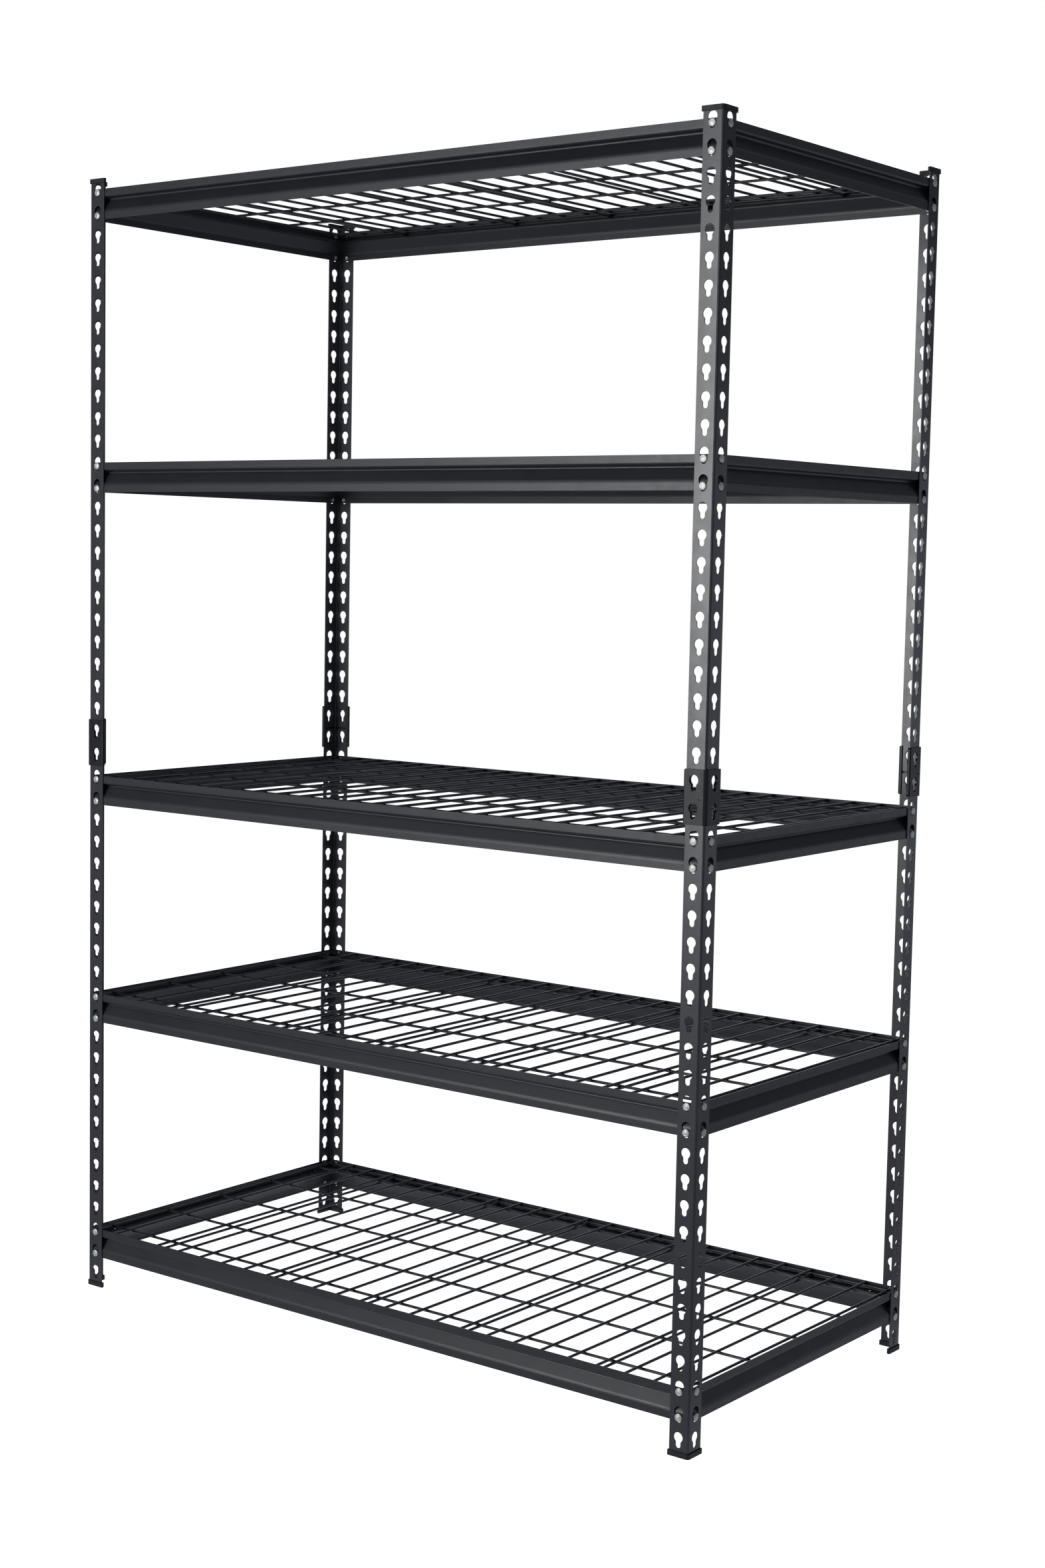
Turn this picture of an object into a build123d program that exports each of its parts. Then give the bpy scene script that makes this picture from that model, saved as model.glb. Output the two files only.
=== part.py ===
from build123d import *
import os

# Boltless steel shelving unit, nominal 48 in wide, 24 in deep and 72 in high, in millimetres.
# X runs along the long side, Y from the front to the back and Z up.
# The origin is on the floor, in the middle of the footprint.

# ---- overall size -------------------------------------------------------------------------
WIDTH = 1216.0            # outside the posts, along X
DEPTH = 608.0             # outside the posts, along Y
HALF_POST = 914.4         # length of one post half, 36 in
HOLES_PER_HALF = 25
PITCH = HALF_POST / HOLES_PER_HALF
POST_JOINT_GAP = 3.0      # the coupler's stop tab sits in it
PLASTIC_BASE = 3.0        # plastic under a post, and over it

# ---- posts --------------------------------------------------------------------------------
POST_LEG = 31.75          # 1 1/4 in angle
POST_SHEET = 1.5
POST_BEND = 3.0           # outside radius of the corner
HOLE_FROM_CORNER = 17.0   # keyhole centre line from the outer corner
FIRST_HOLE = 25.1         # centre of the lowest keyhole's round part above the post's end
KEY_ROUND = 7.35          # radius of the round part
KEY_SLOT = 4.05           # half width of the narrow part
KEY_DROP = 11.25          # from the round part's centre down to the narrow part's
KEY_BLEND = 3.0           # radius where the two parts meet

# ---- beams --------------------------------------------------------------------------------
BEAM_SHEET = 1.2
BEAM_EDGE = 5.8           # lip beyond the rivet centres, above and below
BEAM_HEIGHT = PITCH + 2 * BEAM_EDGE
LEDGE_REACH = 12.0        # from the lips' outer faces to where ledge and web would meet
WEB_FOOT = 35.3           # from the top edge to where the web would meet the lower lip
LIP_BEND = 3.3            # front radius of the bend from the upper lip to the ledge
LEDGE_BEND = 3.0          # front radius of the bend from the ledge to the web
FOOT_BEND = 14.0          # front radius of the bend from the web to the lower lip
BEAM_END_GAP = 0.3        # between the mitred ends of two beams that meet in a corner
LEDGE_HOLE_FROM_CORNER = 51.0
LEDGE_HOLE_DEPTH = 6.2    # its centre behind the lips' outer faces
LEDGE_HOLE = 2.25         # radius

# ---- rivets: radii and lengths --------------------------------------------------------------
RIVET_DROP = 8.0          # rivet centre below the round part's centre, where it sits wedged
RIVET_HEAD = 5.75
RIVET_HEAD_HEIGHT = 2.2
RIVET_DOME = 1.2          # how much of the head's height is the dome
RIVET_SHOULDER = 4.0
RIVET_SHANK = 2.6
SHANK_CLEARANCE = 0.1     # on the radius, in the beam's lip
RIVET_TAIL = 3.4
RIVET_TAIL_HEIGHT = 1.2
RIVET_TAIL_ROUND = 0.5

# ---- wire decks ---------------------------------------------------------------------------
WIRE = 2.1                # radius of every wire
WELD_SINK = 0.2           # how far two welded wires sink into each other
WIRE_STEP = 2 * WIRE - WELD_SINK
CROSS_WIRES = 25          # the top layer, from front to back
CROSS_SPAN = 1190.6       # between the first and the last
CROSS_LENGTH = 599.2
LONG_PLACES = (-297.5, -259.3, -129.7, 0.0, 129.7, 259.3, 297.5)
LONG_LENGTH = 1201.0
STAY_PLACES = (3, 8, 12, 16, 21)   # the cross wires that have a stay wire under them
STAY_LENGTH = 598.0
DECK_GAP = 0.3            # a loose deck's clearance above the ledges
LEDGE_DROP = 2 * (WIRE_STEP + WIRE) + DECK_GAP   # ledge below the beam's top edge

# ---- couplers -----------------------------------------------------------------------------
COUPLER_SHEET = 2.0
COUPLER_FACE_GAP = 0.6    # between the post's outer faces and the sleeve
COUPLER_HEIGHT = 76.2
COUPLER_BELOW = 35.0      # how far the coupler reaches below the joint
COUPLER_EDGE_GAP = 1.0    # between a leg's edge and the fold round it
COUPLER_LIP = 5.5         # how far the lip reaches back along the leg's inside
COUPLER_FOLD = 2.4        # outside radius of the folds
COUPLER_CORNER = 4.3      # rounding of the folded edges' ends
COUPLER_HOLE_FROM_CORNER = 18.0
COUPLER_HOLES = (22.6, 61.0)   # round parts above the coupler's lower edge
TAB_FROM_CORNER = 7.5
TAB_SIZE = (8.0, 2.4)     # along the leg, and up
TAB_DEPTH = 1.4
TAB_POCKET_SIZE = (6.6, 1.2)
TAB_POCKET = 1.6          # depth in the coupler's outer face

# ---- plastic caps and feet ----------------------------------------------------------------
PLASTIC_WALL = 2.0        # outside the leg
PLASTIC_INNER_WALL = 2.2  # inside the leg
PLASTIC_PAST_LEG = 2.5    # beyond the leg's edge
PLASTIC_END_ROUND = 2.2
PLASTIC_EDGE_ROUND = 0.8
PLASTIC_FIT = 0.1         # clearance round the post
CAP_SKIRT = 4.1
FOOT_SKIRT = 4.7

# ---- shelves, from the top, as the keyhole that the upper rivets hang in -------------------
SHELF_HOLES = (1, 13, 27, 37, 48)

LOWER_POST_Z = PLASTIC_BASE
UPPER_POST_Z = LOWER_POST_Z + HALF_POST + POST_JOINT_GAP
JOINT_Z = LOWER_POST_Z + HALF_POST + POST_JOINT_GAP / 2
POST_TOP_Z = UPPER_POST_Z + HALF_POST

# Each corner's name, X side, Y side, and turn of the piece drawn for the front left one.
CORNERS = (
    ("front_left", -1, -1, 0),
    ("front_right", 1, -1, 90),
    ("rear_right", 1, 1, 180),
    ("rear_left", -1, 1, 270),
)


# ---- places -------------------------------------------------------------------------------

def keyhole_z(number):
    """Height of a keyhole's round part, the keyholes counted from the top of the post."""
    above = 2 * HOLES_PER_HALF - number
    if above >= HOLES_PER_HALF:
        return UPPER_POST_Z + FIRST_HOLE + (above - HOLES_PER_HALF) * PITCH
    return LOWER_POST_Z + FIRST_HOLE + above * PITCH


def rivet_z(hole):
    """Height of the rivets that hang in this keyhole."""
    return keyhole_z(hole) - RIVET_DROP


def beam_top_z(hole):
    """Top edge of the beams whose upper rivets hang in this keyhole."""
    return rivet_z(hole) + BEAM_EDGE


def at_corner(shape, corner, z):
    """Move a piece drawn with its post corner on the Z axis, legs along +X and +Y."""
    _, x_side, y_side, turn = corner
    return Pos(x_side * WIDTH / 2, y_side * DEPTH / 2, z) * Rot(0, 0, turn) * shape


# ---- shared outlines and cutters ----------------------------------------------------------

def sheet_section(points, sheet, radii):
    """Section of a folded sheet that lies to the left of a line with rounded corners."""
    return make_face(offset(FilletPolyline(*points, radius=radii), sheet, side=Side.LEFT).edges())


def leg_section(fit):
    """The post's angle section, grown by the fit on every side."""
    far = POST_LEG + fit
    points = [(-fit, far), (-fit, -fit), (far, -fit)]
    return sheet_section(points, POST_SHEET + 2 * fit, [POST_BEND + fit])


def keyhole(x, z):
    """Round part over a narrow part, with blended shoulders."""
    slot = Pos(x, z - KEY_DROP / 2) * Rectangle(2 * KEY_SLOT, KEY_DROP)
    outline = Pos(x, z) * Circle(KEY_ROUND) + slot + Pos(x, z - KEY_DROP) * Circle(KEY_SLOT)
    waist = z - (KEY_ROUND ** 2 - KEY_SLOT ** 2) ** 0.5
    shoulders = outline.vertices().filter_by_position(Axis.Y, waist - 0.01, waist + 0.01)
    return fillet(shoulders, KEY_BLEND)


def on_both_legs(shape):
    """A shape for the leg along +X, and its mirror image for the leg along +Y."""
    diagonal = Plane(origin=(0, 0, 0), x_dir=(1, 1, 0), z_dir=(1, -1, 0))
    return [shape, mirror(shape, about=diagonal)]


def keyhole_cutters(x, heights, depth):
    """Keyholes through both legs."""
    column = Sketch() + [keyhole(x, z) for z in heights]
    return on_both_legs(extrude(Plane.XZ * column, depth, both=True))


# ---- one piece of each kind ---------------------------------------------------------------

def post_half():
    """Angle with a column of keyholes in each leg, its lower end at Z = 0."""
    heights = [FIRST_HOLE + n * PITCH for n in range(HOLES_PER_HALF)]
    return extrude(leg_section(0), HALF_POST) - keyhole_cutters(HOLE_FROM_CORNER, heights, 2 * POST_SHEET)


def coupler():
    """Sleeve outside the post, folded round both leg edges, its lower end at Z = 0."""
    outside = -COUPLER_FACE_GAP - COUPLER_SHEET
    past = POST_LEG + COUPLER_EDGE_GAP + COUPLER_SHEET
    back = POST_SHEET + COUPLER_SHEET
    lip_end = past - COUPLER_LIP
    points = [(back, lip_end), (back, past), (outside, past), (outside, outside)]
    points += [(past, outside), (past, back), (lip_end, back)]
    bend = POST_BEND - outside
    radii = [COUPLER_FOLD, COUPLER_FOLD, bend, COUPLER_FOLD, COUPLER_FOLD]
    body = extrude(sheet_section(points, COUPLER_SHEET, radii), COUPLER_HEIGHT)

    corner_x = past - COUPLER_CORNER
    for end, side in ((0, 1), (COUPLER_HEIGHT, -1)):
        square = Pos(past, end) * Rectangle(2 * COUPLER_CORNER, 2 * COUPLER_CORNER)
        waste = square - Pos(corner_x, end + side * COUPLER_CORNER) * Circle(COUPLER_CORNER)
        body -= on_both_legs(extrude(Plane.XZ * waste, 2 * back, both=True))
    body -= keyhole_cutters(COUPLER_HOLE_FROM_CORNER, COUPLER_HOLES, back)

    on_leg = Pos(0, TAB_FROM_CORNER, COUPLER_BELOW)
    tab_root = outside / 2
    tab = Pos((TAB_DEPTH + tab_root) / 2, 0, 0) * Box(TAB_DEPTH - tab_root, *TAB_SIZE)
    pocket = Pos(outside, 0, 0) * Box(2 * TAB_POCKET, *TAB_POCKET_SIZE)
    return body + on_leg * tab - on_leg * pocket


def plastic_end(skirt):
    """Angle-shaped plastic cap that takes the post's end, which meets it at Z = 0."""
    far = POST_LEG + PLASTIC_PAST_LEG
    near = -PLASTIC_WALL
    inner = POST_SHEET + PLASTIC_INNER_WALL
    points = [(near, near), (far, near), (far, inner), (inner, inner), (inner, far), (near, far)]
    outline = make_face(Polyline(*points, close=True))
    tips = [v for v in outline.vertices() if max(v.X, v.Y) > inner + PLASTIC_EDGE_ROUND]
    outline = fillet(tips, PLASTIC_END_ROUND)
    corner = outline.vertices().sort_by_distance((near, near))[0]
    outline = fillet(corner, POST_BEND + PLASTIC_WALL)

    body = extrude(Pos(0, 0, -skirt) * outline, skirt + PLASTIC_BASE)
    body = fillet(body.faces().sort_by(Axis.Z)[-1].edges(), PLASTIC_EDGE_ROUND)
    return body - extrude(Pos(0, 0, -skirt) * leg_section(PLASTIC_FIT), skirt)


def beam(span):
    """Folded profile with two riveted lips, for posts whose corners are a span apart.

    It runs along X with its top edge at Z = 0 and its lips' outer faces at Y = 0. Its ends are
    mitred behind the lips, for the beam on the post's other leg has the same profile.
    """
    ledge_bottom = -LEDGE_DROP - BEAM_SHEET
    points = [(0, 0), (0, ledge_bottom), (LEDGE_REACH, ledge_bottom), (0, -WEB_FOOT)]
    points += [(0, -BEAM_HEIGHT)]
    section = sheet_section(points, BEAM_SHEET, [LIP_BEND, LEDGE_BEND, FOOT_BEND])
    across = Plane(origin=(0, 0, 0), x_dir=(0, 1, 0), z_dir=(1, 0, 0))
    body = extrude(across * section, span / 2 - POST_BEND, both=True)

    mitre_x = span / 2 - POST_SHEET - BEAM_END_GAP
    deep = 2 * LEDGE_REACH
    for side in (-1, 1):
        corners = [(side * mitre_x, 0), (side * span / 2, 0), (side * span / 2, deep)]
        corners += [(side * (mitre_x - deep), deep)]
        waste = extrude(make_face(Polyline(*corners, close=True)), -BEAM_HEIGHT)
        body -= waste
        hole_x = side * (span / 2 - HOLE_FROM_CORNER)
        hole = Rot(90, 0, 0) * Cylinder(RIVET_SHANK + SHANK_CLEARANCE, 4 * BEAM_SHEET)
        for z in (-BEAM_EDGE, BEAM_EDGE - BEAM_HEIGHT):
            body -= Pos(hole_x, 0, z) * hole
        ledge_x = side * (span / 2 - LEDGE_HOLE_FROM_CORNER)
        ledge_hole = Cylinder(LEDGE_HOLE, 4 * BEAM_SHEET)
        body -= Pos(ledge_x, LEDGE_HOLE_DEPTH, ledge_bottom) * ledge_hole
    return body


def rivet():
    """Rivet along Y, domed head to the front, with the post's outer face at Y = 0."""
    up = (Align.CENTER, Align.CENTER, Align.MIN)
    dome_radius = (RIVET_HEAD ** 2 + RIVET_DOME ** 2) / (2 * RIVET_DOME)
    ball = Pos(0, 0, RIVET_HEAD_HEIGHT - dome_radius) * Sphere(dome_radius)
    head = Cylinder(RIVET_HEAD, RIVET_HEAD_HEIGHT, align=up) & ball
    shoulder = Pos(0, 0, -POST_SHEET) * Cylinder(RIVET_SHOULDER, POST_SHEET, align=up)
    length = POST_SHEET + BEAM_SHEET
    shank = Pos(0, 0, -length) * Cylinder(RIVET_SHANK, length, align=up)
    tail = Cylinder(RIVET_TAIL, RIVET_TAIL_HEIGHT, align=up)
    tail = fillet(tail.faces().sort_by(Axis.Z)[0].edges(), RIVET_TAIL_ROUND)
    tail = Pos(0, 0, -length - RIVET_TAIL_HEIGHT) * tail
    return Rot(90, 0, 0) * (head + shoulder + shank + tail)


def wire_deck():
    """Welded grid in three layers of wire, the tops of its cross wires at Z = 0."""
    cross = Rot(90, 0, 0) * Cylinder(WIRE, CROSS_LENGTH)
    long = Rot(0, 90, 0) * Cylinder(WIRE, LONG_LENGTH)
    stay = Rot(90, 0, 0) * Cylinder(WIRE, STAY_LENGTH)
    pitch = CROSS_SPAN / (CROSS_WIRES - 1)
    cross_x = [n * pitch - CROSS_SPAN / 2 for n in range(CROSS_WIRES)]
    wires = [Pos(x, 0, -WIRE) * cross for x in cross_x]
    wires += [Pos(0, y, -WIRE - WIRE_STEP) * long for y in LONG_PLACES]
    wires += [Pos(cross_x[n], 0, -WIRE - 2 * WIRE_STEP) * stay for n in STAY_PLACES]
    return wires[0].fuse(*wires[1:])


# ---- the unit -----------------------------------------------------------------------------

def put_posts(pieces):
    half = post_half()
    sleeve = coupler()
    cap = plastic_end(CAP_SKIRT)
    foot = mirror(plastic_end(FOOT_SKIRT), about=Plane.XY)
    for corner in CORNERS:
        name = corner[0]
        pieces["post_lower_" + name] = at_corner(half, corner, LOWER_POST_Z)
        pieces["post_upper_" + name] = at_corner(half, corner, UPPER_POST_Z)
        pieces["coupler_" + name] = at_corner(sleeve, corner, JOINT_Z - COUPLER_BELOW)
        pieces["cap_" + name] = at_corner(cap, corner, POST_TOP_Z)
        pieces["foot_" + name] = at_corner(foot, corner, LOWER_POST_Z)


def put_shelf(pieces, number, hole, long_beam, short_beam, deck):
    top = beam_top_z(hole)
    shelf = "_shelf_%d" % number
    front = DEPTH / 2 - POST_SHEET
    side = WIDTH / 2 - POST_SHEET
    pieces["beam_front" + shelf] = Pos(0, -front, top) * long_beam
    pieces["beam_rear" + shelf] = Pos(0, front, top) * Rot(0, 0, 180) * long_beam
    pieces["beam_left" + shelf] = Pos(-side, 0, top) * Rot(0, 0, -90) * short_beam
    pieces["beam_right" + shelf] = Pos(side, 0, top) * Rot(0, 0, 90) * short_beam
    pieces["wire_deck" + shelf] = Pos(0, 0, top) * deck

    fastener = rivet()
    on_front_leg = Pos(HOLE_FROM_CORNER, 0, 0) * fastener
    on_side_leg = Pos(0, HOLE_FROM_CORNER, 0) * Rot(0, 0, -90) * fastener
    rivets = []
    for corner in CORNERS:
        for z in (rivet_z(hole), rivet_z(hole) - PITCH):
            rivets.append(at_corner(on_front_leg, corner, z))
            rivets.append(at_corner(on_side_leg, corner, z))
    pieces["rivets" + shelf] = Compound(rivets)


def main():
    pieces = {}
    put_posts(pieces)
    long_beam = beam(WIDTH)
    short_beam = beam(DEPTH)
    deck = wire_deck()
    for number, hole in enumerate(SHELF_HOLES, start=1):
        put_shelf(pieces, number, hole, long_beam, short_beam, deck)
    os.makedirs("parts", exist_ok=True)
    for name, shape in pieces.items():
        export_step(shape, "parts/" + name + ".step")


main()
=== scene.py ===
import math

import bmesh
import bpy
from mathutils import Matrix, Vector


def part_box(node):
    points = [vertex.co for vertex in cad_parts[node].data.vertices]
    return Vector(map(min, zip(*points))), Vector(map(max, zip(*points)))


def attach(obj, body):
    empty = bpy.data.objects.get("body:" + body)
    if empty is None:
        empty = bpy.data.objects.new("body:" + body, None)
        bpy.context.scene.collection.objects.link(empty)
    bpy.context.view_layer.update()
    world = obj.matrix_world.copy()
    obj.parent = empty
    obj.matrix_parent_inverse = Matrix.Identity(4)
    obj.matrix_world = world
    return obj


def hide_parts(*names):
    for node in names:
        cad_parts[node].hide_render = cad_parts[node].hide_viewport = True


# Boltless steel shelving. Sizes are in millimetres and are turned to metres as meshes are made.
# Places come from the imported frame; the sizes below are those of the sheet, wire and rivets.

MM = 0.001
SHELVES = (1, 2, 3, 4, 5)
SIDES = (("front", 0), ("right", 90), ("rear", 180), ("left", 270))
CORNERS = (
    ("front_left", -1, -1, 0),
    ("front_right", 1, -1, 90),
    ("rear_right", 1, 1, 180),
    ("rear_left", -1, 1, 270),
)

# ---- posts
POST_LEG = 31.75
POST_SHEET = 1.5
POST_BEND = 3.0
HOLES = 25
HOLE_FROM_CORNER = 17.0
FIRST_HOLE = 25.1
KEY_ROUND = 7.35
KEY_SLOT = 4.05
KEY_DROP = 11.25
KEY_BLEND = 3.0

# ---- beams
BEAM_SHEET = 1.2
LEDGE_DROP = 12.5
LEDGE_REACH = 12.0
WEB_FOOT = 35.3
LIP_BEND = 3.3
LEDGE_BEND = 3.0
FOOT_BEND = 14.0
MITRE_GAP = 0.28          # behind the post's sheet, where the mitre starts
LEDGE_HOLE = 2.25
LEDGE_HOLE_DEPTH = 6.2
LEDGE_HOLE_FROM_CORNER = 51.0
BEAM_END_FROM_CORNER = 3.0

# ---- rivets
RIVET_HEAD = 5.75
RIVET_HEAD_HEIGHT = 2.2
RIVET_SHOULDER = 4.0
RIVET_SHANK = 2.6
RIVET_TAIL = 3.4
RIVET_TAIL_HEIGHT = 1.2

# ---- wire decks
WIRE = 2.1
WIRE_STEP = 4.0
CROSS_WIRES = 25
LONG_PLACES = (-297.5, -259.3, -129.7, 0.0, 129.7, 259.3, 297.5)
STAY_PLACES = (3, 8, 12, 16, 21)
WIRE_SIDES = 16
WIRE_CHAMFER = 0.45
WELD = 1.9
WELD_FLATNESS = 0.45
STAYS_SHORTER = 1.2       # than the cross wires
SPAN_SHORTER = 10.4       # between the outermost cross wires, than the long wires

# ---- rounding of sharp edges, and of nothing that turns by less than the angle
EDGE = 0.22
POST_EDGE = 0.28
PLASTIC_EDGE = 0.15
EDGE_ANGLE = 40
MERGE = 0.002             # points nearer than this are one
COPLANAR = 0.6            # faces that differ by fewer degrees are one flat

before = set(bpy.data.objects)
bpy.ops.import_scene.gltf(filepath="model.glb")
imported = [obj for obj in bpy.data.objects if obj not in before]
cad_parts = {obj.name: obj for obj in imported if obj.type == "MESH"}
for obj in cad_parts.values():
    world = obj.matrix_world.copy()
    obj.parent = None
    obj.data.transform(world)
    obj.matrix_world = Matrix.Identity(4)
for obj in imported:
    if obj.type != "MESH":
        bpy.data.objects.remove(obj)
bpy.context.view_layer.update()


# ---- mesh helpers -------------------------------------------------------------------------

def mesh_from(name, points, faces):
    """A mesh from points in millimetres, with doubled points merged."""
    mesh = bpy.data.meshes.new(name)
    mesh.from_pydata([tuple(c * MM for c in p) for p in points], [], faces)
    bm = bmesh.new()
    bm.from_mesh(mesh)
    bmesh.ops.remove_doubles(bm, verts=bm.verts, dist=MERGE * MM)
    bm.to_mesh(mesh)
    bm.free()
    return mesh


def linked(name, mesh):
    """A new object in the scene that shows the mesh."""
    obj = bpy.data.objects.new(name, mesh)
    bpy.context.scene.collection.objects.link(obj)
    return obj


def baked(obj):
    """The mesh of an object with its modifiers applied. The object goes away."""
    depsgraph = bpy.context.evaluated_depsgraph_get()
    mesh = bpy.data.meshes.new_from_object(obj.evaluated_get(depsgraph))
    bpy.data.objects.remove(obj)
    return mesh


def with_soft_edges(obj, width):
    """Rounds every sharp edge a little and shades the flats flat. Returns the finished mesh."""
    bevel = obj.modifiers.new("edges", "BEVEL")
    bevel.width = width * MM
    bevel.segments = 2
    bevel.limit_method = "ANGLE"
    bevel.angle_limit = math.radians(EDGE_ANGLE)
    bevel.miter_outer = "MITER_ARC"
    obj.data.shade_smooth()
    normals = obj.modifiers.new("normals", "WEIGHTED_NORMAL")
    normals.keep_sharp = True
    return baked(obj)


def arc(centre, radius, start, end, steps):
    """Points along an arc, angles in degrees."""
    points = []
    for n in range(steps + 1):
        angle = math.radians(start + (end - start) * n / steps)
        points.append((centre[0] + radius * math.cos(angle), centre[1] + radius * math.sin(angle)))
    return points


def folded_section(points, radii, sheet, steps=9):
    """Outline of a folded sheet that lies to the left of a line with rounded corners."""
    line = [Vector(p) for p in points]
    first = (line[1] - line[0]).normalized()
    last = (line[-1] - line[-2]).normalized()
    face = [line[0]]
    back = [line[0] + sheet * Vector((-first.y, first.x))]
    for n, radius in enumerate(radii, start=1):
        before = (line[n] - line[n - 1]).normalized()
        after = (line[n + 1] - line[n]).normalized()
        turn = math.copysign(1, before.x * after.y - before.y * after.x)
        angle = math.acos(before.dot(after))
        inward = turn * Vector((-before.y, before.x))
        centre = line[n] - radius * math.tan(angle / 2) * before + radius * inward
        for k in range(steps + 1):
            part = angle * k / steps
            ray = math.sin(part) * before - math.cos(part) * inward
            face.append(centre + radius * ray)
            back.append(centre + (radius - turn * sheet) * ray)
    face.append(line[-1])
    back.append(line[-1] + sheet * Vector((-last.y, last.x)))
    return face + back[::-1]


def prism(outline, place, low, high):
    """Points and faces of an outline swept from low to high; place maps (u, v, w) to (x, y, z)."""
    count = len(outline)
    points = [place(u, v, w) for w in (low, high) for u, v in outline]
    faces = [tuple(range(count))[::-1], tuple(range(count, 2 * count))]
    for n in range(count):
        after = (n + 1) % count
        faces.append((n, after, after + count, n + count))
    return points, faces


def joined(parts):
    """One list of points and one of faces from several pairs of them."""
    points, faces = [], []
    for part_points, part_faces in parts:
        start = len(points)
        points += part_points
        faces += [tuple(n + start for n in face) for face in part_faces]
    return points, faces


def outward(mesh):
    """Turns every face outward."""
    bm = bmesh.new()
    bm.from_mesh(mesh)
    bmesh.ops.recalc_face_normals(bm, faces=bm.faces)
    bm.to_mesh(mesh)
    bm.free()
    return mesh


def cut_with(obj, parts, name):
    """Cuts the closed shapes out of the object."""
    tool = linked(name, outward(mesh_from(name, *joined(parts))))
    cut = obj.modifiers.new("cut", "BOOLEAN")
    cut.operation = "DIFFERENCE"
    cut.solver = "EXACT"
    cut.object = tool
    mesh = baked(obj)
    bpy.data.objects.remove(tool)
    return linked(name, mesh)


# ---- posts --------------------------------------------------------------------------------

def keyhole_side():
    """Right half of a keyhole's edge, from its top to its bottom, round part centred on (0, 0)."""
    blend_x = KEY_SLOT + KEY_BLEND
    blend_y = -math.sqrt((KEY_ROUND + KEY_BLEND) ** 2 - blend_x ** 2)
    meeting = math.degrees(math.atan2(blend_y, blend_x))
    side = arc((0, 0), KEY_ROUND, 90, meeting, 14)
    side += arc((blend_x, blend_y), KEY_BLEND, meeting + 180, 180, 5)[1:]
    side += arc((0, -KEY_DROP), KEY_SLOT, 0, -90, 8)
    return side


def post_cell(low, high, hole, near, far):
    """One pitch of a leg's outer face as two faces, left and right of the keyhole's middle."""
    side = keyhole_side()
    middle = HOLE_FROM_CORNER
    right = [(middle, low), (far, low), (far, high), (middle, high)]
    right += [(middle + x, hole + y) for x, y in side]
    left = [(middle, high), (near, high), (near, low), (middle, low)]
    left += [(middle - x, hole + y) for x, y in side[::-1]]
    return [right, left]


def post_mesh(length):
    """Slotted angle with its corner on the Z axis, legs along +X and +Y, from Z = 0 up."""
    pitch = length / HOLES
    levels = [0.0]
    levels += [FIRST_HOLE + n * pitch - (KEY_DROP + pitch) / 2 for n in range(1, HOLES)]
    levels += [length]
    points, faces = [], []
    for n in range(HOLES):
        hole = FIRST_HOLE + n * pitch
        for cell in post_cell(levels[n], levels[n + 1], hole, POST_BEND, POST_LEG):
            start = len(points)
            points += [(u, 0.0, z) for u, z in cell]
            faces.append(tuple(range(start, len(points))))
            start = len(points)
            points += [(0.0, u, z) for u, z in cell]
            faces.append(tuple(range(start, len(points)))[::-1])
        bend = arc((POST_BEND, POST_BEND), POST_BEND, 180, 270, 8)
        for (x0, y0), (x1, y1) in zip(bend, bend[1:]):
            start = len(points)
            points += [(x0, y0, levels[n]), (x1, y1, levels[n])]
            points += [(x1, y1, levels[n + 1]), (x0, y0, levels[n + 1])]
            faces.append(tuple(range(start, start + 4)))
    obj = linked("post", mesh_from("post", points, faces))
    sheet = obj.modifiers.new("sheet", "SOLIDIFY")
    sheet.thickness = POST_SHEET * MM
    sheet.offset = -1
    sheet.use_even_offset = True
    return with_soft_edges(obj, POST_EDGE)


def add_posts(paint):
    low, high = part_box("post_lower_front_left")
    mesh = post_mesh((high.z - low.z) / MM)
    mesh.materials.append(paint)
    for name, x_side, y_side, turn in CORNERS:
        for half in ("lower", "upper"):
            node = "post_%s_%s" % (half, name)
            low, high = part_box(node)
            post = linked("slotted_" + node, mesh)
            x = high.x if x_side > 0 else low.x
            y = high.y if y_side > 0 else low.y
            post.matrix_world = Matrix.Translation((x, y, low.z)) @ Matrix.Rotation(
                math.radians(turn), 4, "Z")
            show(post, "frame", node)


def show(piece, body, node):
    """The piece stands for a CAD node and moves with its body."""
    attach(piece, body)
    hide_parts(node)


# ---- beams --------------------------------------------------------------------------------

def beam_mesh(span, height):
    """Beam along X, its top edge at Z = 0 and its lips' outer faces at Y = 0, facing -Y."""
    ledge = -LEDGE_DROP - BEAM_SHEET
    line = [(0, 0), (0, ledge), (LEDGE_REACH, ledge), (0, -WEB_FOOT), (0, -height)]
    section = folded_section(line, (LIP_BEND, LEDGE_BEND, FOOT_BEND), BEAM_SHEET)
    half = span / 2 - BEAM_END_FROM_CORNER
    body = prism(section, lambda u, v, w: (w, u, v), -half, half)
    obj = linked("beam", outward(mesh_from("beam", *body)))

    cutters = []
    for side in (-1, 1):
        mitre = span / 2 - POST_SHEET - MITRE_GAP
        deep = 2 * LEDGE_REACH
        corners = [(side * (mitre + 1), -1), (side * (span / 2 + 1), -1)]
        corners += [(side * (span / 2 + 1), deep), (side * (mitre - deep), deep)]
        cutters.append(prism(corners, lambda u, v, w: (u, v, w), -height - 1, 1))
        ring = arc((side * (span / 2 - LEDGE_HOLE_FROM_CORNER), LEDGE_HOLE_DEPTH),
                   LEDGE_HOLE, 0, 337.5, 15)
        cutters.append(prism(ring, lambda u, v, w: (u, v, w), ledge - 1, ledge + BEAM_SHEET + 1))
    obj = cut_with(obj, cutters, "beam_cutter")
    return with_soft_edges(obj, EDGE)


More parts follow.
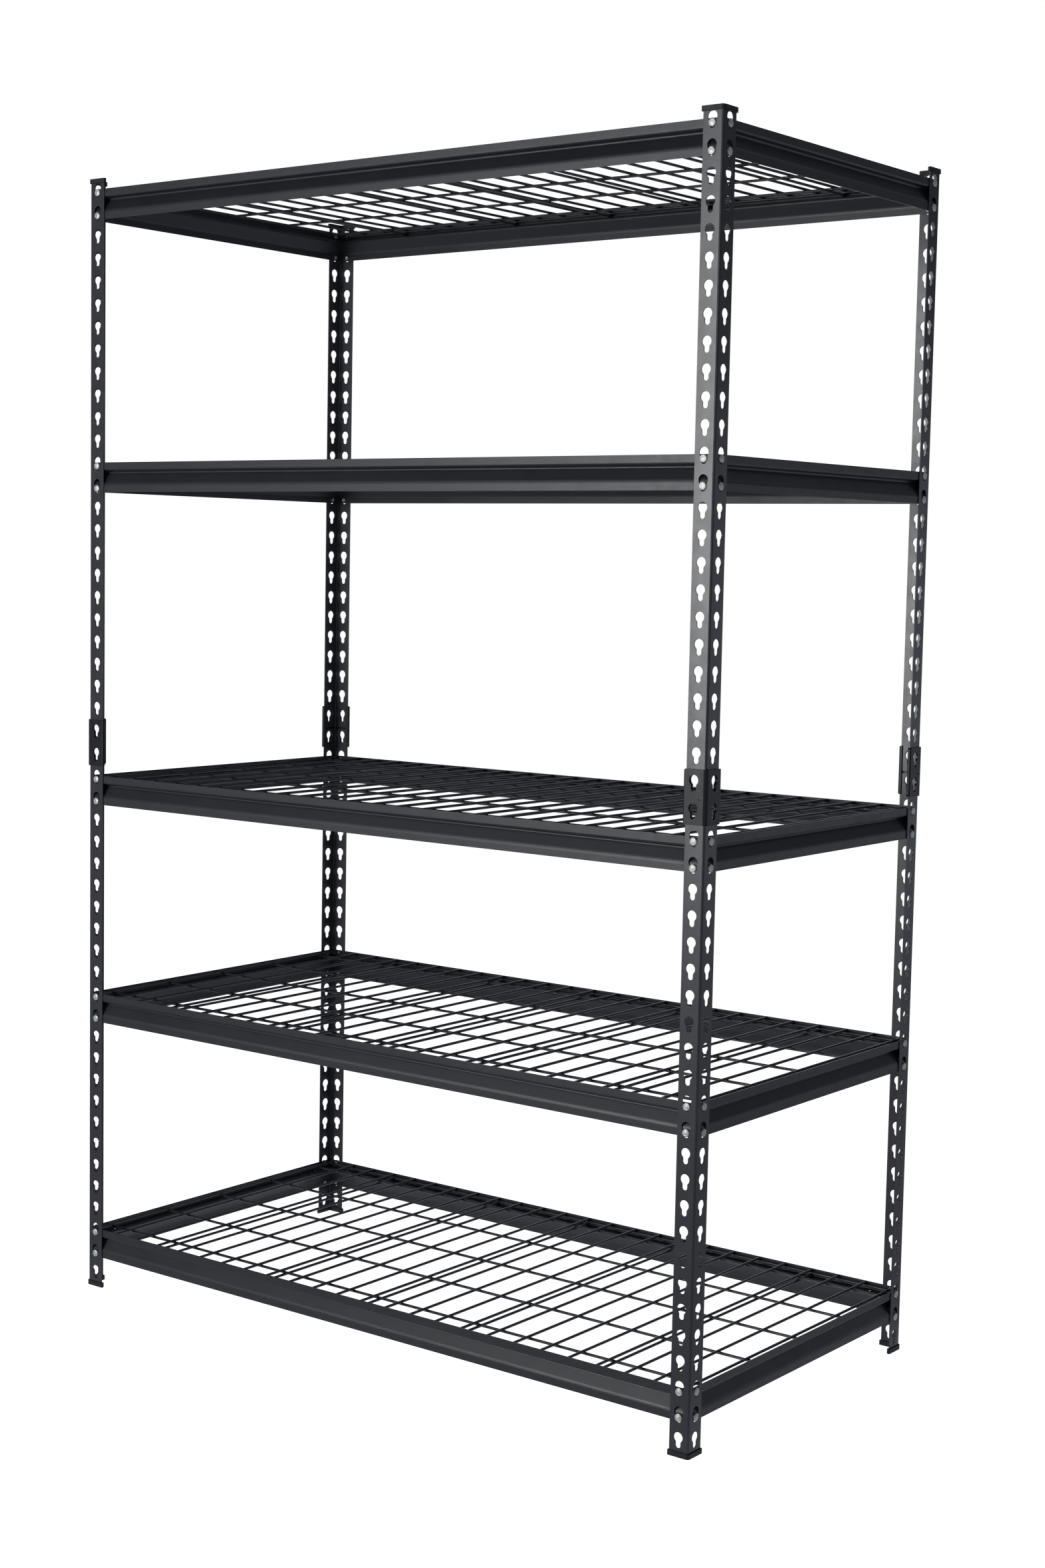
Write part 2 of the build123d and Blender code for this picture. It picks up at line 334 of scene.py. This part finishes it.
def add_beams(paint):
    meshes = {}
    for side, turn in SIDES:
        for shelf in SHELVES:
            node = "beam_%s_shelf_%d" % (side, shelf)
            low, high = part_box(node)
            along_x = turn % 180 == 0
            length = (high.x - low.x if along_x else high.y - low.y) / MM
            span = round(length + 2 * BEAM_END_FROM_CORNER, 3)
            if span not in meshes:
                meshes[span] = beam_mesh(span, (high.z - low.z) / MM)
                meshes[span].materials.append(paint)
            place = {0: (0, low.y), 90: (high.x, 0), 180: (0, high.y), 270: (low.x, 0)}[turn]
            beam = linked("folded_" + node, meshes[span])
            beam.matrix_world = Matrix.Translation((*place, high.z)) @ Matrix.Rotation(
                math.radians(turn), 4, "Z")
            show(beam, "frame", node)


# ---- rivets -------------------------------------------------------------------------------

def turned(profile, sides):
    """Points and faces of a (radius, height) profile turned about Z, closed at both ends."""
    points, faces = [], []
    for radius, height in profile:
        points += [(x, y, height) for x, y in arc((0, 0), radius, 0, 360 - 360 / sides, sides - 1)]
    for row in range(len(profile) - 1):
        for n in range(sides):
            after = (n + 1) % sides
            faces.append((row * sides + n, row * sides + after,
                          (row + 1) * sides + after, (row + 1) * sides + n))
    last = (len(profile) - 1) * sides
    faces.append(tuple(range(sides))[::-1])
    faces.append(tuple(range(last, last + sides)))
    return points, faces


def rivet_profile():
    """From the head's middle over its rim, along the shank and round the formed tail."""
    rim = 0.55
    inside = -POST_SHEET - BEAM_SHEET
    crown = RIVET_HEAD_HEIGHT
    head = [(0.35, crown), (2.7, crown - 0.03), (3.0, crown - 0.18), (3.35, crown - 0.18)]
    head += [(3.6, crown - 0.06), (4.4, crown - 0.2), (5.0, crown - 0.48)]
    head += [(RIVET_HEAD - rim + x, 1.0 + y) for x, y in arc((0, 0), rim, 70, 0, 4)]
    head += [(RIVET_HEAD, 0.0), (RIVET_SHOULDER, 0.0), (RIVET_SHOULDER, -POST_SHEET)]
    head += [(RIVET_SHANK, -POST_SHEET), (RIVET_SHANK, inside)]
    tail_edge = inside - RIVET_TAIL_HEIGHT
    tail = [(RIVET_TAIL, inside), (RIVET_TAIL, tail_edge + 0.45)]
    tail += [(RIVET_TAIL - 0.15, tail_edge + 0.15), (RIVET_TAIL - 0.5, tail_edge), (1.2, tail_edge)]
    tail += [(0.9, tail_edge + 0.25), (0.2, tail_edge + 0.3)]
    return head + tail


def add_rivets(zinc):
    """Sixteen rivets to a shelf, two in each leg of each post, as one piece."""
    shape, faces = turned(rivet_profile(), 28)
    quarter = math.radians(90)
    on_front_leg = Matrix.Translation((HOLE_FROM_CORNER, 0, 0)) @ Matrix.Rotation(quarter, 4, "X")
    on_side_leg = (Matrix.Translation((0, HOLE_FROM_CORNER, 0)) @ Matrix.Rotation(-quarter, 4, "Z")
                   @ Matrix.Rotation(quarter, 4, "X"))
    for shelf in SHELVES:
        node = "rivets_shelf_%d" % shelf
        low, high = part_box(node)
        heights = (low.z / MM + RIVET_HEAD, high.z / MM - RIVET_HEAD)
        parts = []
        for name, x_side, y_side, turn in CORNERS:
            post_low, post_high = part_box("post_lower_" + name)
            x = (post_high.x if x_side > 0 else post_low.x) / MM
            y = (post_high.y if y_side > 0 else post_low.y) / MM
            for z in heights:
                corner = Matrix.Translation((x, y, z)) @ Matrix.Rotation(math.radians(turn), 4, "Z")
                for on_leg in (on_front_leg, on_side_leg):
                    place = corner @ on_leg
                    parts.append(([tuple(place @ Vector(p)) for p in shape], faces))
        mesh = outward(mesh_from(node, *joined(parts)))
        mesh.shade_smooth()
        mesh.set_sharp_from_angle(angle=math.radians(42))
        mesh.materials.append(zinc)
        show(linked("domed_" + node, mesh), "frame", node)


# ---- wire decks ---------------------------------------------------------------------------

def wire(length, place):
    """A round wire with broken edges at its ends; place maps (along, across, up) to (x, y, z)."""
    half = length / 2
    profile = [(WIRE - WIRE_CHAMFER, -half), (WIRE, WIRE_CHAMFER - half)]
    profile += [(WIRE, half - WIRE_CHAMFER), (WIRE - WIRE_CHAMFER, half)]
    points, faces = turned(profile, WIRE_SIDES)
    return [place(z, x, y) for x, y, z in points], faces


def weld(x, y, z):
    """A flattened bead where two wires cross."""
    profile = []
    for angle in (80, 45, 0, -45, -80):
        turn = math.radians(angle)
        profile.append((WELD * math.cos(turn), WELD_FLATNESS * WELD * math.sin(turn)))
    points, faces = turned(profile, 10)
    return [(x + px, y + py, z + pz) for px, py, pz in points], faces


def deck_mesh(length, cross_length, stay_length, cross_span):
    """Welded deck with its middle on the Z axis and the tops of its cross wires at Z = 0."""
    pitch = cross_span / (CROSS_WIRES - 1)
    cross_x = [n * pitch - cross_span / 2 for n in range(CROSS_WIRES)]
    levels = [-WIRE, -WIRE - WIRE_STEP, -WIRE - 2 * WIRE_STEP]
    parts = []
    for x in cross_x:
        parts.append(wire(cross_length, lambda a, b, c: (x + b, a, levels[0] + c)))
        parts += [weld(x, y, (levels[0] + levels[1]) / 2) for y in LONG_PLACES]
    for y in LONG_PLACES:
        parts.append(wire(length, lambda a, b, c: (a, y + b, levels[1] + c)))
    for n in STAY_PLACES:
        parts.append(wire(stay_length, lambda a, b, c: (cross_x[n] + b, a, levels[2] + c)))
        parts += [weld(cross_x[n], y, (levels[1] + levels[2]) / 2) for y in LONG_PLACES]
    mesh = outward(mesh_from("deck", *joined(parts)))
    mesh.shade_smooth()
    mesh.set_sharp_from_angle(angle=math.radians(EDGE_ANGLE))
    return mesh


def add_decks(paint):
    low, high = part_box("wire_deck_shelf_1")
    length = (high.x - low.x) / MM
    cross_length = (high.y - low.y) / MM
    mesh = deck_mesh(length, cross_length, cross_length - STAYS_SHORTER, length - SPAN_SHORTER)
    mesh.materials.append(paint)
    for shelf in SHELVES:
        node = "wire_deck_shelf_%d" % shelf
        low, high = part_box(node)
        deck = linked("welded_" + node, mesh)
        deck.location = (0, 0, high.z)
        show(deck, "deck_%d" % shelf, node)


# ---- couplers, caps and feet: the CAD's own shapes with softened edges ----------------------

def softened(node, width, body_name, material):
    """A copy of a CAD node with its flats made whole and its edges rounded."""
    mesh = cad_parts[node].data.copy()
    mesh.materials.clear()
    mesh.materials.append(material)
    bm = bmesh.new()
    bm.from_mesh(mesh)
    bmesh.ops.remove_doubles(bm, verts=bm.verts, dist=MERGE * MM)
    bmesh.ops.dissolve_limit(bm, angle_limit=math.radians(COPLANAR), verts=bm.verts, edges=bm.edges)
    bm.to_mesh(mesh)
    bm.free()
    for name in [a.name for a in mesh.attributes if a.name == "custom_normal"]:
        mesh.attributes.remove(mesh.attributes[name])
    piece = linked("shape", mesh)
    finished = with_soft_edges(piece, width)
    show(linked(body_name + node, finished), "frame", node)


# ---- materials ------------------------------------------------------------------------------

def material_with(name):
    """A new material and its node tree, shader and object coordinates."""
    material = bpy.data.materials.new(name)
    material.use_nodes = True
    tree = material.node_tree
    shader = tree.nodes["Principled BSDF"]
    coords = tree.nodes.new("ShaderNodeTexCoord")
    return material, tree, shader, coords


def noise(tree, coords, scale, detail):
    node = tree.nodes.new("ShaderNodeTexNoise")
    node.inputs["Scale"].default_value = scale
    node.inputs["Detail"].default_value = detail
    tree.links.new(coords.outputs["Object"], node.inputs["Vector"])
    return node


def ranged(tree, source, low, high, out_low, out_high):
    node = tree.nodes.new("ShaderNodeMapRange")
    node.inputs["From Min"].default_value = low
    node.inputs["From Max"].default_value = high
    node.inputs["To Min"].default_value = out_low
    node.inputs["To Max"].default_value = out_high
    tree.links.new(source, node.inputs["Value"])
    return node.outputs["Result"]


def two_tone(tree, source, dark, light):
    node = tree.nodes.new("ShaderNodeMix")
    node.data_type = "RGBA"
    node.inputs["A"].default_value = (*dark, 1)
    node.inputs["B"].default_value = (*light, 1)
    tree.links.new(source, node.inputs["Factor"])
    return node.outputs["Result"]


def bumped(tree, shader, source, strength, depth):
    node = tree.nodes.new("ShaderNodeBump")
    node.inputs["Strength"].default_value = strength
    node.inputs["Distance"].default_value = depth * MM
    tree.links.new(source, node.inputs["Height"])
    tree.links.new(node.outputs["Normal"], shader.inputs["Normal"])


def powder_coat(name, dark, light, smoothest, roughest, grain, specular):
    """Satin powder coat: a faint orange peel, slow tone changes and an uneven sheen."""
    material, tree, shader, coords = material_with(name)
    cloud = noise(tree, coords, 7.0, 3.0).outputs["Fac"]
    spread = ranged(tree, cloud, 0.35, 0.65, 0.0, 1.0)
    tree.links.new(two_tone(tree, spread, dark, light), shader.inputs["Base Color"])
    sheen = noise(tree, coords, 45.0, 4.0).outputs["Fac"]
    tree.links.new(ranged(tree, sheen, 0.3, 0.7, smoothest, roughest), shader.inputs["Roughness"])
    peel = noise(tree, coords, grain, 2.0).outputs["Fac"]
    bumped(tree, shader, peel, 0.35, 0.03)
    shader.inputs["Metallic"].default_value = 0.0
    shader.inputs["Specular IOR Level"].default_value = specular
    return material


def moulded_plastic(name, dark, light):
    """Black moulded plastic with a fine matte grain."""
    material, tree, shader, coords = material_with(name)
    cloud = noise(tree, coords, 60.0, 2.0).outputs["Fac"]
    tree.links.new(two_tone(tree, cloud, dark, light), shader.inputs["Base Color"])
    grain = noise(tree, coords, 2600.0, 2.0).outputs["Fac"]
    tree.links.new(ranged(tree, cloud, 0.3, 0.7, 0.48, 0.6), shader.inputs["Roughness"])
    bumped(tree, shader, grain, 0.3, 0.02)
    shader.inputs["Specular IOR Level"].default_value = 0.35
    return material


def zinc_plate(name):
    """Bright zinc: metal with a cloudy passivated tone."""
    material, tree, shader, coords = material_with(name)
    cloud = noise(tree, coords, 260.0, 4.0).outputs["Fac"]
    spread = ranged(tree, cloud, 0.35, 0.65, 0.0, 1.0)
    tone = two_tone(tree, spread, (0.43, 0.44, 0.41), (0.61, 0.61, 0.57))
    tree.links.new(tone, shader.inputs["Base Color"])
    tree.links.new(ranged(tree, cloud, 0.3, 0.7, 0.40, 0.52), shader.inputs["Roughness"])
    bumped(tree, shader, noise(tree, coords, 1500.0, 2.0).outputs["Fac"], 0.25, 0.02)
    shader.inputs["Metallic"].default_value = 0.75
    return material


# ---- the unit -------------------------------------------------------------------------------

post_paint = powder_coat("post_powder_coat", (0.023, 0.0241, 0.0280), (0.027, 0.0283, 0.0325),
                         0.28, 0.34, 1100.0, 0.5)
beam_paint = powder_coat("beam_powder_coat", (0.011, 0.0116, 0.0140), (0.014, 0.0148, 0.0178),
                         0.37, 0.44, 1100.0, 0.5)
deck_paint = powder_coat("deck_powder_coat", (0.017, 0.0178, 0.0205), (0.021, 0.022, 0.025),
                         0.30, 0.38, 1400.0, 0.5)
coupler_paint = powder_coat("coupler_powder_coat", (0.010, 0.0105, 0.012), (0.013, 0.0135, 0.015),
                            0.30, 0.38, 900.0, 0.25)
black_plastic = moulded_plastic("black_plastic", (0.006, 0.0063, 0.007), (0.009, 0.0095, 0.0105))
zinc = zinc_plate("zinc_plate")

add_posts(post_paint)
add_beams(beam_paint)
add_rivets(zinc)
add_decks(deck_paint)
for corner in CORNERS:
    softened("coupler_" + corner[0], EDGE, "sleeve_", coupler_paint)
    softened("cap_" + corner[0], PLASTIC_EDGE, "moulded_", black_plastic)
    softened("foot_" + corner[0], PLASTIC_EDGE, "moulded_", black_plastic)


# ---- floor, light and camera ------------------------------------------------------------------

def glowing(name, diffuse, glow):
    """A matte white that also glows."""
    material, _, shader, _ = material_with(name)
    shader.inputs["Base Color"].default_value = (diffuse, diffuse, diffuse, 1)
    shader.inputs["Roughness"].default_value = 1.0
    shader.inputs["Specular IOR Level"].default_value = 0.0
    shader.inputs["Emission Color"].default_value = (1, 1, 1, 1)
    shader.inputs["Emission Strength"].default_value = glow
    return material


def staged(name, corners, material):
    """A flat of the studio that is seen but lights nothing and mirrors nowhere."""
    mesh = bpy.data.meshes.new(name)
    mesh.from_pydata(corners, [], [(0, 1, 2, 3)])
    mesh.materials.append(material)
    flat = linked(name, mesh)
    flat.visible_diffuse = False
    flat.visible_glossy = False
    flat.visible_shadow = False


def add_studio():
    """Pale floor and a white wall on every side."""
    size, height = 14.0, 12.0
    ground = [(-size, -size, 0), (size, -size, 0), (size, size, 0), (-size, size, 0)]
    staged("floor", ground, glowing("pale_floor", 0.30, 0.99))
    white = glowing("white_wall", 0.0, 1.0)
    for n in range(4):
        (x0, y0, z0), (x1, y1, z1) = ground[n], ground[(n + 1) % 4]
        corners = [(x0, y0, -1), (x1, y1, -1), (x1, y1, height), (x0, y0, height)]
        staged("wall_%d" % n, corners, white)


def add_softbox(name, place, target, width, height, power, colour):
    light = bpy.data.lights.new(name, "AREA")
    light.shape = "RECTANGLE"
    light.size = width
    light.size_y = height
    light.energy = power
    light.color = colour
    box = linked(name, light)
    box.location = place
    box.visible_camera = False
    aim = Vector(target) - Vector(place)
    box.rotation_euler = aim.to_track_quat("-Z", "Y").to_euler()


def add_world(colour, low, high):
    """Bright below the horizon and dim above it."""
    world = bpy.data.worlds.new("studio")
    world.use_nodes = True
    tree = world.node_tree
    sky = tree.nodes["Background"]
    sky.inputs["Color"].default_value = (*colour, 1)
    coords = tree.nodes.new("ShaderNodeTexCoord")
    height = tree.nodes.new("ShaderNodeSeparateXYZ")
    tree.links.new(coords.outputs["Generated"], height.inputs["Vector"])
    strength = ranged(tree, height.outputs["Z"], -0.10, 0.15, low, high)
    tree.links.new(strength, sky.inputs["Strength"])
    bpy.context.scene.world = world


def add_camera():
    """Stands off the right front corner, a little over half way up, and looks slightly down."""
    place = Vector((2.3259, -2.9638, 1.2373))
    yaw, pitch, roll = (math.radians(a) for a in (37.33, 5.448, 1.103))
    data = bpy.data.cameras.new("camera")
    data.sensor_fit = "VERTICAL"
    data.sensor_height = 36.0
    data.lens = 54.03
    data.clip_start = 0.05
    camera = linked("camera", data)
    turn = (Matrix.Rotation(yaw, 4, "Z") @ Matrix.Rotation(math.radians(90) - pitch, 4, "X")
            @ Matrix.Rotation(roll, 4, "Z"))
    camera.matrix_world = Matrix.Translation(place) @ turn
    bpy.context.scene.camera = camera


COOL = (0.91, 0.97, 1.10)
add_studio()
add_world(COOL, 0.34, 0.07)
add_softbox("key", (-1.85, -5.0, 1.46), (0.4, -0.3, 1.3), 1.4, 2.1, 122, (0.99, 1.0, 1.01))
add_softbox("front", (-2.7, -4.6, 1.2), (-0.3, 0, 1.1), 3.2, 2.4, 5, COOL)
add_softbox("top", (-1.6, -3.6, 3.4), (0, 0, 0.8), 3.5, 1.4, 17, COOL)
add_softbox("ceiling", (0.5, 1.0, 4.6), (0.3, 0.0, 0.8), 2.5, 2.0, 12, COOL)
add_softbox("side", (3.3, 3.9, 0.9), (0.6, 0, 0.9), 2.2, 1.8, 4.5, COOL)
add_softbox("rear_high", (3.4, 3.9, 3.9), (0.6, 0, 0.9), 2.5, 1.3, 4, COOL)
add_softbox("rear", (-2.2, 4.4, 1.9), (0.0, 0.3, 1.1), 2.6, 2.2, 22, COOL)
add_softbox("fill", (3.6, -4.6, 2.1), (0.3, 0, 1.1), 2.0, 1.4, 28, COOL)
add_softbox("ground", (0.0, 0.0, -0.02), (0, 0, 1.0), 1.5, 0.9, 0.8, COOL)
add_camera()
bpy.context.scene.view_settings.view_transform = "Standard"
